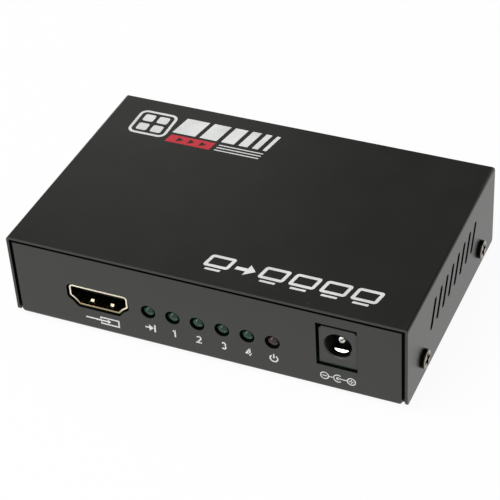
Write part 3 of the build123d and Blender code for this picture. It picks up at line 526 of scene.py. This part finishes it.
# Soft edges on the parts that show, as modifiers on the frame's own meshes
edgeRounds = {
    "base_chassis": 0.06, "top_cover": 0.04, "cover_screws": 0.07, "power_jack_body": 0.12,
    "power_jack_pin": 0.04, "power_jack_leaf": 0.05, "input_socket_shell": 0.06, "heat_sink": 0.08,
}
outputNumbers = range(1, 5)
for number in outputNumbers:
    edgeRounds[f"output_{number}_socket_shell"] = edgeRounds["input_socket_shell"]
roundSettings = {"segments": 2, "leastDegrees": 40, "weld": 1e-6}


def roundEdges(piece, width):
    weld = piece.modifiers.new("joinEdges", "WELD")
    weld.merge_threshold = roundSettings["weld"]
    bevel = piece.modifiers.new("softEdges", "BEVEL")
    bevel.width = width * mm
    bevel.segments = roundSettings["segments"]
    bevel.limit_method = "ANGLE"
    bevel.angle_limit = math.radians(roundSettings["leastDegrees"])
    bevel.miter_outer = "MITER_ARC"
    bevel.harden_normals = True
    bevel.use_clamp_overlap = True


for name, width in edgeRounds.items():
    roundEdges(nodes[name], width)
print("edges rounded:", len(edgeRounds))


# Printed marks: thin films of ink, drawn flat in millimetres
inkGrain = {"Scale": 3000.0, "Roughness": 0.5}
ink = {
    "white": finish("whiteInk", (0.66, 0.67, 0.66), "moulded", inkGrain, bump=0.12, depth=0.01),
    "red": finish("redInk", (0.5, 0.022, 0.035), "moulded", inkGrain, bump=0.12, depth=0.01),
}
inkFilm = {"height": 0.016, "gap": 0.002, "weld": 1e-5}  # ink over the coat, in mm


def roundedLoop(x, y, width, height, radius, steps=6):
    loop = []
    for cornerX, cornerY, start in ((1, 1, 0), (-1, 1, 90), (-1, -1, 180), (1, -1, 270)):
        for step in range(steps + 1):
            angle = math.radians(start + 90 * step / steps)
            loop.append((
                x + cornerX * (width / 2 - radius) + radius * math.cos(angle),
                y + cornerY * (height / 2 - radius) + radius * math.sin(angle)))
    return loop


def boxLoop(left, low, right, high):
    return [(left, low), (right, low), (right, high), (left, high)]


def circleLoop(x, y, radius, steps=40):
    angles = [math.tau * i / steps for i in range(steps)]
    return [(x + radius * math.cos(angle), y + radius * math.sin(angle)) for angle in angles]


def arcPoints(x, y, radius, start, end, steps=14):
    angles = [math.radians(start + (end - start) * step / steps) for step in range(steps + 1)]
    return [(x + radius * math.cos(angle), y + radius * math.sin(angle)) for angle in angles]


def frameShape(x, y, width, height, radius, stroke, leastRadius=0.05):
    innerRadius = max(radius - stroke, leastRadius)
    inner = roundedLoop(x, y, width - 2 * stroke, height - 2 * stroke, innerRadius)
    return [roundedLoop(x, y, width, height, radius), inner]


def arcShape(x, y, radius, stroke, start, end, steps=30):
    outer = arcPoints(x, y, radius, start, end, steps)
    return [outer + arcPoints(x, y, radius - stroke, start, end, steps)[::-1]]


def arrowShape(left, right, y, half, shaft, headShare=1.15):
    # Shaft and head in one outline, pointing right; the head's length is a share of its half height
    neck = right - half * headShare
    return [[
        (left, y - shaft / 2), (neck, y - shaft / 2), (neck, y - half), (right, y), (neck, y + half),
        (neck, y + shaft / 2), (left, y + shaft / 2)]]


screenShares = {"panel": 0.78, "corner": 0.9, "foot": 0.3, "footStroke": 0.75}


def screenShapes(x, y, width, height, stroke):
    # A screen on its stand
    shares = screenShares
    panel = height * shares["panel"]
    top = y + height / 2
    low = y - height / 2
    foot = width * shares["foot"]
    return [
        frameShape(x, top - panel / 2, width, panel, stroke * shares["corner"], stroke),
        [boxLoop(x - foot, low, x + foot, low + stroke * shares["footStroke"])],
    ]


def lean(shapes, slope, about):
    return [[[(x + slope * (y - about), y) for x, y in loop] for loop in shape] for shape in shapes]


faces = {  # where flat drawings go: a point on the face, its right and its up
    "top": (Vector((0, 0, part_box("top_cover")[1].z)), Vector((1, 0, 0)), Vector((0, 1, 0))),
    "front": (Vector((0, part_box("base_chassis")[0].y, 0)), Vector((1, 0, 0)), Vector((0, 0, 1))),
    "rear": (Vector((0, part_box("base_chassis")[1].y, 0)), Vector((-1, 0, 0)), Vector((0, 0, 1))),
}


def faceMatrix(face):
    point, right, up = faces[face]
    out = right.cross(up)
    lifted = point + out * (inkFilm["gap"] + inkFilm["height"] / 2) * mm
    columns = Matrix((right, up, out)).transposed().to_4x4()
    return Matrix.Translation(lifted) @ columns @ Matrix.Scale(mm, 4)


def flatCurve(shape):
    curve = bpy.data.curves.new("markOutline", "CURVE")
    curve.dimensions = "2D"
    curve.fill_mode = "BOTH"
    curve.extrude = inkFilm["height"] / 2
    for loop in shape:
        spline = curve.splines.new("POLY")
        spline.points.add(len(loop) - 1)
        for point, (x, y) in zip(spline.points, loop):
            point.co = (x, y, 0, 1)
        spline.use_cyclic_u = True
    return curve


def strokeShape(points, stroke, sharpest=0.4):
    # A line of even width with mitred bends, cut short where a bend is very sharp
    points = [Vector(point) for point in points]
    left, right = [], []
    for i, point in enumerate(points):
        before = (point - points[i - 1]).normalized() if i else (points[1] - point).normalized()
        after = (points[i + 1] - point).normalized() if i < len(points) - 1 else before
        along = (before + after).normalized()
        out = Vector((-along.y, along.x)) * (stroke / 2 / max(along.dot(before), sharpest))
        left.append(tuple(point + out))
        right.append(tuple(point - out))
    return [left + right[::-1]]


# Strokes of each digit in shares of its height, from its foot up
digitStrokes = {
    1: [[(0.05, 0.0), (0.05, 1.0)], [(-0.19, 0.73), (0.05, 0.93)]],
    2: [arcPoints(0.0, 0.7, 0.22, 165, -38) + [(-0.24, 0.08), (0.29, 0.08)]],
    3: [arcPoints(0.0, 0.71, 0.2, 150, -90), arcPoints(0.0, 0.29, 0.22, 90, -150)],
    4: [[(0.13, 0.0), (0.13, 1.0)], [(0.1, 0.95), (-0.27, 0.3), (0.32, 0.3)]],
}
digitSize = {"height": 2.15, "stroke": 0.38, "middleShare": 0.5}


def digitCurves(digit, x, y):
    height, stroke, middle = digitSize["height"], digitSize["stroke"], digitSize["middleShare"]
    curves = []
    for line in digitStrokes[digit]:
        points = [(x + across * height, y + (up - middle) * height) for across, up in line]
        curves.append(flatCurve(strokeShape(points, stroke)))
    return curves


def printMark(name, face, curves, colour="white"):
    mesh = bpy.data.meshes.new(name)
    work = bmesh.new()
    for curve in curves:
        holder = bpy.data.objects.new("markHolder", curve)
        scene.collection.objects.link(holder)
        bpy.context.view_layer.update()
        part = bpy.data.meshes.new_from_object(holder.evaluated_get(bpy.context.evaluated_depsgraph_get()))
        work.from_mesh(part)
        bpy.data.objects.remove(holder)
        bpy.data.curves.remove(curve)
        bpy.data.meshes.remove(part)
    bmesh.ops.remove_doubles(work, verts=work.verts, dist=inkFilm["weld"])
    work.transform(faceMatrix(face))
    bmesh.ops.recalc_face_normals(work, faces=work.faces)
    work.to_mesh(mesh)
    work.free()
    mesh.materials.append(ink[colour])
    piece = bpy.data.objects.new(name, mesh)
    scene.collection.objects.link(piece)
    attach(piece, mainBody)


# Row of screens where the name of the product's kind would stand: one, an arrow, then four
rowMark = {
    "left": -1.4, "right": 40.2, "low": -26.8, "high": -21.3, "screen": 6.2, "screens": 4, "gap": 1.15,
    "stroke": 0.85, "slope": 0.2, "arrow": 1.9, "shaft": 1.1,
}


def screenRow():
    mark = rowMark
    left, right, wide, gap, stroke = (mark[key] for key in ("left", "right", "screen", "gap", "stroke"))
    middle = (mark["low"] + mark["high"]) / 2
    height = mark["high"] - mark["low"]
    count = mark["screens"]
    rowWide = count * wide + (count - 1) * gap
    shapes = screenShapes(left + wide / 2, middle, wide, height, stroke)
    shapes.append(arrowShape(left + wide + gap, right - rowWide - gap, middle, mark["arrow"], mark["shaft"]))
    for number in range(count):
        x = right - rowWide + wide / 2 + number * (wide + gap)
        shapes += screenShapes(x, middle, wide, height, stroke)
    return [flatCurve(shape) for shape in lean(shapes, mark["slope"], middle)]


printMark("screenRowMark", "top", screenRow())

# Badge at the rear left: a frame with four cells, slanted bars, a red band and a lined one
badge = {
    "frame": (-42.05, 16.8, 10.4, 10.0), "corner": 2.0, "stroke": 0.75,
    "cell": 2.9, "cellGap": 1.0, "cellCorner": 0.6,
    "bars": (-30.6, -5.2, 19.9, 26.6), "barWidths": (6.2, 4.6, 3.4, 2.4, 1.6, 1.0), "slope": 0.18,
    "band": (-30.6, 15.9, -18.6, 19.0), "arrows": 3, "arrowLeft": -28.1, "arrowPitch": 3.1,
    "arrowLong": 1.7, "arrowHalf": 0.95,
    "lines": (-17.4, -5.6), "linePlaces": (-1.1, 0.0, 1.1), "lineHalf": 0.18,
}


def badgeFrame():
    left, low, width, height = badge["frame"]
    middleX, middleY = left + width / 2, low + height / 2
    shapes = [frameShape(middleX, middleY, width, height, badge["corner"], badge["stroke"])]
    cell = badge["cell"]
    step = (cell + badge["cellGap"]) / 2
    for sideX in (-1, 1):
        for sideY in (-1, 1):
            place = middleX + sideX * step, middleY + sideY * step
            shapes.append([roundedLoop(*place, cell, cell, badge["cellCorner"])])
    return shapes


def badgeBars():
    left, right, low, high = badge["bars"]
    widths = badge["barWidths"]
    between = (right - left - sum(widths)) / (len(widths) - 1)
    shapes = []
    for width in widths:
        shapes.append([boxLoop(left, low, left + width, high)])
        left += width + between
    return lean(shapes, badge["slope"], low)


def badgeLines(middle):
    (left, right), half = badge["lines"], badge["lineHalf"]
    shapes = [
        [boxLoop(left, middle + place - half, right, middle + place + half)] for place in badge["linePlaces"]]
    return lean(shapes, badge["slope"], middle)


def badgeArrows(middle):
    long, half = badge["arrowLong"], badge["arrowHalf"]
    places = [badge["arrowLeft"] + number * badge["arrowPitch"] for number in range(badge["arrows"])]
    return [[(x, middle - half), (x + long, middle), (x, middle + half)] for x in places]


bandMiddle = (badge["band"][1] + badge["band"][3]) / 2
shapes = badgeFrame() + badgeBars() + badgeLines(bandMiddle)
printMark("badgeMark", "top", [flatCurve(shape) for shape in shapes])
band = [boxLoop(*badge["band"])] + badgeArrows(bandMiddle)
printMark("badgeBand", "top", [flatCurve(lean([band], badge["slope"], bandMiddle)[0])], "red")

# Marks at the sockets: an open frame and an arrow through its open side
labelZ = {"socket": 4.65, "lamps": 6.1, "jack": 4.68}
socketMark = {
    "inputX": -26.05, "half": 0.9, "opening": 0.5, "far": 4.2, "stroke": 0.4, "arrow": 0.66, "shaft": 0.42,
    "inputNear": -0.4, "inputArrow": (-4.4, 2.1), "outputNear": -0.5, "outputArrow": (-2.6, 1.9),
    "digitRoom": 3.4,
}


def socketShapes(x, near, far, arrow):
    half, opening, z = socketMark["half"], socketMark["opening"], labelZ["socket"]
    openFrame = strokeShape([
        (x + near, z + opening), (x + near, z + half), (x + far, z + half), (x + far, z - half),
        (x + near, z - half), (x + near, z - opening)], socketMark["stroke"])
    start, end = arrow
    return [openFrame, arrowShape(x + start, x + end, z, socketMark["arrow"], socketMark["shaft"])]


inputShapes = socketShapes(
    socketMark["inputX"], socketMark["inputNear"], socketMark["far"], socketMark["inputArrow"])
printMark("inputMark", "front", [flatCurve(shape) for shape in inputShapes])

# Arrow to a bar under the input lamp, digits under the outputs, a power sign under the last lamp
lampMark = {
    "shift": 0.2, "arrow": (-1.35, 0.8), "arrowHalf": 0.95, "shaft": 0.4, "bar": (0.95, 1.35), "barHalf": 1.1,
    "ring": 1.1, "ringStroke": 0.36, "ringDrop": 0.1, "ringArc": (125, 415), "stem": (-0.05, 1.25),
    "stemHalf": 0.18,
}
lampNames = ["input_lamp"] + [f"output_{number}_lamp" for number in outputNumbers] + ["power_lamp"]


def lampPlace(name):
    lowCorner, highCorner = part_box(name)
    return (lowCorner.x + highCorner.x) / 2 / mm + lampMark["shift"]


def inputLampShapes(x, z):
    (start, end), (left, right) = lampMark["arrow"], lampMark["bar"]
    half = lampMark["barHalf"]
    return [
        arrowShape(x + start, x + end, z, lampMark["arrowHalf"], lampMark["shaft"]),
        [boxLoop(x + left, z - half, x + right, z + half)],
    ]


def powerShapes(x, z):
    (low, high), half = lampMark["stem"], lampMark["stemHalf"]
    ringZ = z - lampMark["ringDrop"]
    return [
        arcShape(x, ringZ, lampMark["ring"], lampMark["ringStroke"], *lampMark["ringArc"]),
        [boxLoop(x - half, z + low, x + half, z + high)],
    ]


lampX = [lampPlace(name) for name in lampNames]
lampZ = labelZ["lamps"]
printMark("inputLampMark", "front", [flatCurve(shape) for shape in inputLampShapes(lampX[0], lampZ)])
for number in outputNumbers:
    printMark(f"digitMark_{number}", "front", digitCurves(number, lampX[number], lampZ))
printMark("powerMark", "front", [flatCurve(shape) for shape in powerShapes(lampX[-1], lampZ)])

# Polarity of the power jack: minus on the sleeve, plus on the pin
polarity = {
    "x": 32.85, "stroke": 0.27, "apart": 3.2, "ring": 1.08, "bar": 0.55,
    "wires": ((-2.12, -1.1), (0.0, 2.12)), "sleeve": 1.15, "sleeveArc": (50, 310), "pin": 0.42,
}


def polarityShapes():
    x, z, stroke = polarity["x"], labelZ["jack"], polarity["stroke"]
    half, bar, ring = stroke / 2, polarity["bar"], polarity["ring"]
    minus, plus = x - polarity["apart"], x + polarity["apart"]
    shapes = []
    for sign in (minus, plus):
        shapes.append([circleLoop(sign, z, ring), circleLoop(sign, z, ring - stroke)])
        shapes.append([boxLoop(sign - bar, z - half, sign + bar, z + half)])
    shapes.append([boxLoop(plus - half, z - bar, plus + half, z + bar)])
    for start, end in polarity["wires"]:
        shapes.append([boxLoop(x + start, z - half, x + end, z + half)])
    shapes.append(arcShape(x, z, polarity["sleeve"], stroke, *polarity["sleeveArc"]))
    shapes.append([circleLoop(x, z, polarity["pin"])])
    return shapes


printMark("polarityMark", "front", [flatCurve(shape) for shape in polarityShapes()])

# Rear: an arrow out of a frame and a digit for each output, the right way round for someone behind
for number in outputNumbers:
    lowCorner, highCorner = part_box(f"output_{number}_socket_shell")
    x = -(lowCorner.x + highCorner.x) / 2 / mm
    outShapes = socketShapes(x, socketMark["outputNear"], -socketMark["far"], socketMark["outputArrow"])
    digit = digitCurves(number, x + socketMark["digitRoom"], labelZ["socket"])
    printMark(f"outputMark_{number}", "rear", [flatCurve(shape) for shape in outShapes] + digit)
print("marks printed")


# Inside each lamp: a bright cup, as radius and distance along its rings, and a post; in mm
lampInside = {
    "cup": [(0.01, 0.42), (0.2, 0.42), (0.44, 0.0), (0.62, 0.0), (0.62, 0.75), (0.3, 0.95), (0.3, 2.2)],
    "behindTip": 1.9, "sideways": -0.3, "sides": 24,
    "post": (0.45, 1.9, 0.4), "postPlace": (0.85, 3.2, 0.0), "round": 0.05, "segments": 2, "sharp": 0.9,
}


def lampInsides(name):
    settings = lampInside
    lowCorner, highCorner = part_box(name)
    tip = Vector(((lowCorner.x + highCorner.x) / 2, lowCorner.y, (lowCorner.z + highCorner.z) / 2)) / mm
    work = bmesh.new()
    rings = []
    for radius, along in settings["cup"]:
        loop = circleLoop(tip.x + settings["sideways"], tip.z, radius, settings["sides"])
        rings.append([work.verts.new((x, tip.y + settings["behindTip"] + along, z)) for x, z in loop])
    for first, second in zip(rings, rings[1:]):
        for i in range(len(first)):
            after = (i + 1) % len(first)
            work.faces.new((first[i], first[after], second[after], second[i]))
    work.faces.new(rings[0])
    work.faces.new(rings[-1][::-1])
    middle = tip + Vector(settings["postPlace"])
    for vert in bmesh.ops.create_cube(work, size=1.0)["verts"]:
        vert.co = middle + Vector([a * b for a, b in zip(settings["post"], vert.co)])
    sharp = [edge for edge in work.edges if edge.is_manifold and edge.calc_face_angle(0) > settings["sharp"]]
    bmesh.ops.bevel(work, geom=sharp, offset=settings["round"], segments=settings["segments"], affect="EDGES")
    bmesh.ops.recalc_face_normals(work, faces=work.faces)
    bmesh.ops.scale(work, vec=(mm, mm, mm), verts=work.verts)
    mesh = bpy.data.meshes.new(f"{name}_inside")
    work.to_mesh(mesh)
    work.free()
    mesh.materials.append(finishes["plated_contact"])
    piece = bpy.data.objects.new(f"{name}_inside", mesh)
    scene.collection.objects.link(piece)
    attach(piece, mainBody)


for name in lampNames:
    lampInsides(name)
print("lamps filled")


# Stage, light and camera
stage = {
    "size": 4.0, "floor": (0.82, 0.82, 0.82, 1.0), "shown": 0.94, "white": (1.0, 1.0, 1.0, 1.0),
    "world": 0.45, "horizon": (0.0, 0.25, 1.0, 0.0), "ahead": (-0.05, -0.5, 0.0, 1.0), "room": (0.13, 0.95),
    "aim": (0, 0, 0.01),
    "lamps": {  # place and size in metres, watts
        "softboxAbove": ((-0.35, -0.35, 0.9), (0.9, 0.9), 9.0),
        "softboxBack": ((-0.22, 0.34, 0.2), (0.15, 0.15), 0.04),
        "softboxFront": ((-0.31, -0.49, 0.14), (0.2, 0.2), 0.7),
    },
}


def isShown(tree):
    # Camera, glossy and transmission rays see the plain background
    path = addNode(tree, "ShaderNodeLightPath").outputs
    seen = maths(tree, "ADD", path["Is Camera Ray"], path["Is Glossy Ray"])
    return maths(tree, "ADD", seen, path["Is Transmission Ray"], clamp=True)


def makeFloor():
    mesh = bpy.data.meshes.new("floor")
    half = stage["size"] / 2
    corners = [(-half, -half, 0), (half, -half, 0), (half, half, 0), (-half, half, 0)]
    mesh.from_pydata(corners, [], [(0, 1, 2, 3)])
    material = bpy.data.materials.new("paleFloor")
    material.use_nodes = True
    tree = material.node_tree
    tree.nodes.clear()
    matte = addNode(tree, "ShaderNodeBsdfDiffuse", {"Color": stage["floor"]})
    glow = addNode(tree, "ShaderNodeEmission", {"Color": stage["white"], "Strength": 1.0})
    factor = maths(tree, "MULTIPLY", isShown(tree), stage["shown"])
    both = addNode(tree, "ShaderNodeMixShader", {0: factor, 1: matte.outputs[0], 2: glow.outputs[0]})
    out = addNode(tree, "ShaderNodeOutputMaterial")
    tree.links.new(both.outputs[0], out.inputs[0])
    mesh.materials.append(material)
    floor = bpy.data.objects.new("floor", mesh)
    scene.collection.objects.link(floor)


def makeWorld():
    world = bpy.data.worlds.new("studio")
    scene.world = world
    world.use_nodes = True
    tree = world.node_tree
    tree.nodes.clear()
    direction = addNode(tree, "ShaderNodeTexCoord").outputs["Generated"]
    axes = addNode(tree, "ShaderNodeSeparateXYZ", {0: direction}).outputs
    # Reflections see a bright room at the horizon and in front, and a dim one up at the back
    level = remap(tree, axes[2], *stage["horizon"])
    ahead = remap(tree, axes[1], *stage["ahead"])
    backdrop = remap(tree, maths(tree, "MAXIMUM", level, ahead), 0.0, 1.0, *stage["room"])
    plain = addNode(tree, "ShaderNodeBackground", {"Color": stage["white"], "Strength": stage["world"]})
    shown = addNode(tree, "ShaderNodeBackground", {"Color": stage["white"], "Strength": backdrop})
    both = addNode(tree, "ShaderNodeMixShader", {0: isShown(tree), 1: plain.outputs[0], 2: shown.outputs[0]})
    out = addNode(tree, "ShaderNodeOutputWorld")
    tree.links.new(both.outputs[0], out.inputs[0])


def makeLamp(name, place, size, watts):
    light = bpy.data.lights.new(name, "AREA")
    light.shape = "RECTANGLE"
    light.size, light.size_y = size
    light.energy = watts
    lamp = bpy.data.objects.new(name, light)
    lamp.location = place
    lamp.rotation_euler = (Vector(stage["aim"]) - Vector(place)).to_track_quat("-Z", "Y").to_euler()
    scene.collection.objects.link(lamp)


# From the lines of the case in the picture: place in metres, then right, down and ahead
shot = {
    "place": (0.1412, -0.29715, 0.2686), "lens": 125.54, "sensor": 36.0, "clip": (0.01, 20.0),
    "right": (0.91722, 0.3948, -0.05329), "down": (0.20672, -0.58603, -0.78348),
    "ahead": (-0.34054, 0.70761, -0.61913),
}


def makeCamera():
    data = bpy.data.cameras.new("camera")
    data.lens = shot["lens"]
    data.sensor_width = shot["sensor"]
    data.sensor_fit = "HORIZONTAL"
    data.clip_start, data.clip_end = shot["clip"]
    camera = bpy.data.objects.new("camera", data)
    scene.collection.objects.link(camera)
    axes = Matrix((Vector(shot["right"]), -Vector(shot["down"]), -Vector(shot["ahead"]))).transposed()
    camera.matrix_world = Matrix.Translation(shot["place"]) @ axes.to_4x4()
    scene.camera = camera


makeFloor()
makeWorld()
for name, (place, size, watts) in stage["lamps"].items():
    makeLamp(name, place, size, watts)
makeCamera()
scene.view_settings.view_transform = "Standard"
print("stage, lights and camera ready")
